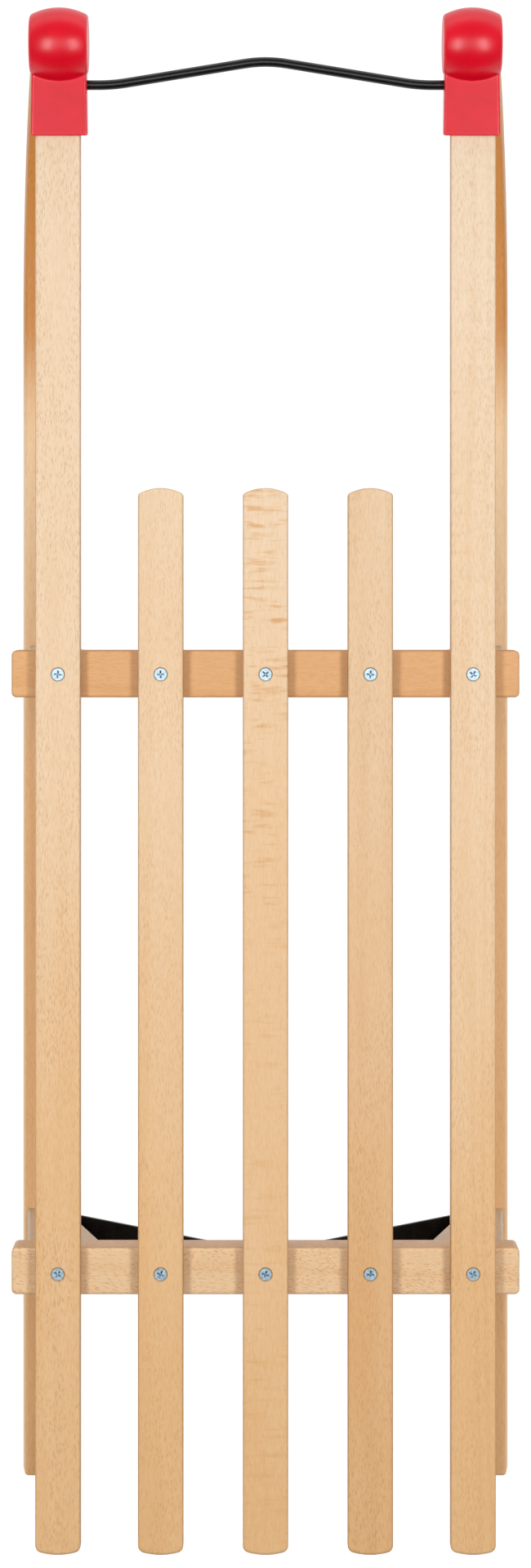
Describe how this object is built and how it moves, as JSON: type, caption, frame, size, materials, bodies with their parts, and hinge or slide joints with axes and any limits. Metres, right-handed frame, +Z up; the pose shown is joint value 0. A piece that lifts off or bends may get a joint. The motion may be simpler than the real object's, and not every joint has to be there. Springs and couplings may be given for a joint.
{
  "type": "wooden sledge",
  "caption": "Wooden slatted sledge on bowed runners with steel soles, leaning legs, moulded horn caps and a bent steel tow bar.",
  "frame": {"origin": "on the ground, under the middle of the sledge's overall box", "axes": "+X to the sledge's right, +Y towards its horns, +Z up"},
  "size_m": [0.368, 1.0949, 0.2334],
  "materials": {
    "beech_slats": "clear satin varnish on pale beech, edges eased",
    "beech_frame": "clear satin varnish on golden beech, edges eased",
    "red_caps": "semi-gloss moulded red plastic",
    "black_steel": "smooth black coating with a soft sheen",
    "bright_steel": "bright drawn steel strip",
    "zinc_screws": "bright zinc plate, faintly blue"
  },
  "bodies": {
    "root": {"brace_front": "black_steel", "brace_rear": "black_steel", "brace_screw_front_left": "zinc_screws", "brace_screw_front_right": "zinc_screws", "brace_screw_rear_left": "zinc_screws", "brace_screw_rear_right": "zinc_screws", "cap_screw_runner_left": "zinc_screws", "cap_screw_runner_right": "zinc_screws", "cap_screw_slat_left": "zinc_screws", "cap_screw_slat_right": "zinc_screws", "crossbar_front": "beech_frame", "crossbar_rear": "beech_frame", "horn_cap_left": "red_caps", "horn_cap_right": "red_caps", "leg_front_left": "beech_frame", "leg_front_right": "beech_frame", "leg_rear_left": "beech_frame", "leg_rear_right": "beech_frame", "runner_left": "beech_frame", "runner_right": "beech_frame", "runner_sole_left": "bright_steel", "runner_sole_right": "bright_steel", "slat_centre": "beech_slats", "slat_inner_left": "beech_slats", "slat_inner_right": "beech_slats", "slat_outer_left": "beech_slats", "slat_outer_right": "beech_slats", "slat_screw_front_1": "zinc_screws", "slat_screw_front_2": "zinc_screws", "slat_screw_front_3": "zinc_screws", "slat_screw_front_4": "zinc_screws", "slat_screw_front_5": "zinc_screws", "slat_screw_rear_1": "zinc_screws", "slat_screw_rear_2": "zinc_screws", "slat_screw_rear_3": "zinc_screws", "slat_screw_rear_4": "zinc_screws", "slat_screw_rear_5": "zinc_screws", "sole_screw_left_1": "zinc_screws", "sole_screw_left_2": "zinc_screws", "sole_screw_left_3": "zinc_screws", "sole_screw_left_4": "zinc_screws", "sole_screw_right_1": "zinc_screws", "sole_screw_right_2": "zinc_screws", "sole_screw_right_3": "zinc_screws", "sole_screw_right_4": "zinc_screws", "tab_screw_front_left": "zinc_screws", "tab_screw_front_right": "zinc_screws", "tab_screw_rear_left": "zinc_screws", "tab_screw_rear_right": "zinc_screws", "tow_bar": "black_steel"}
  },
  "joints": []
}
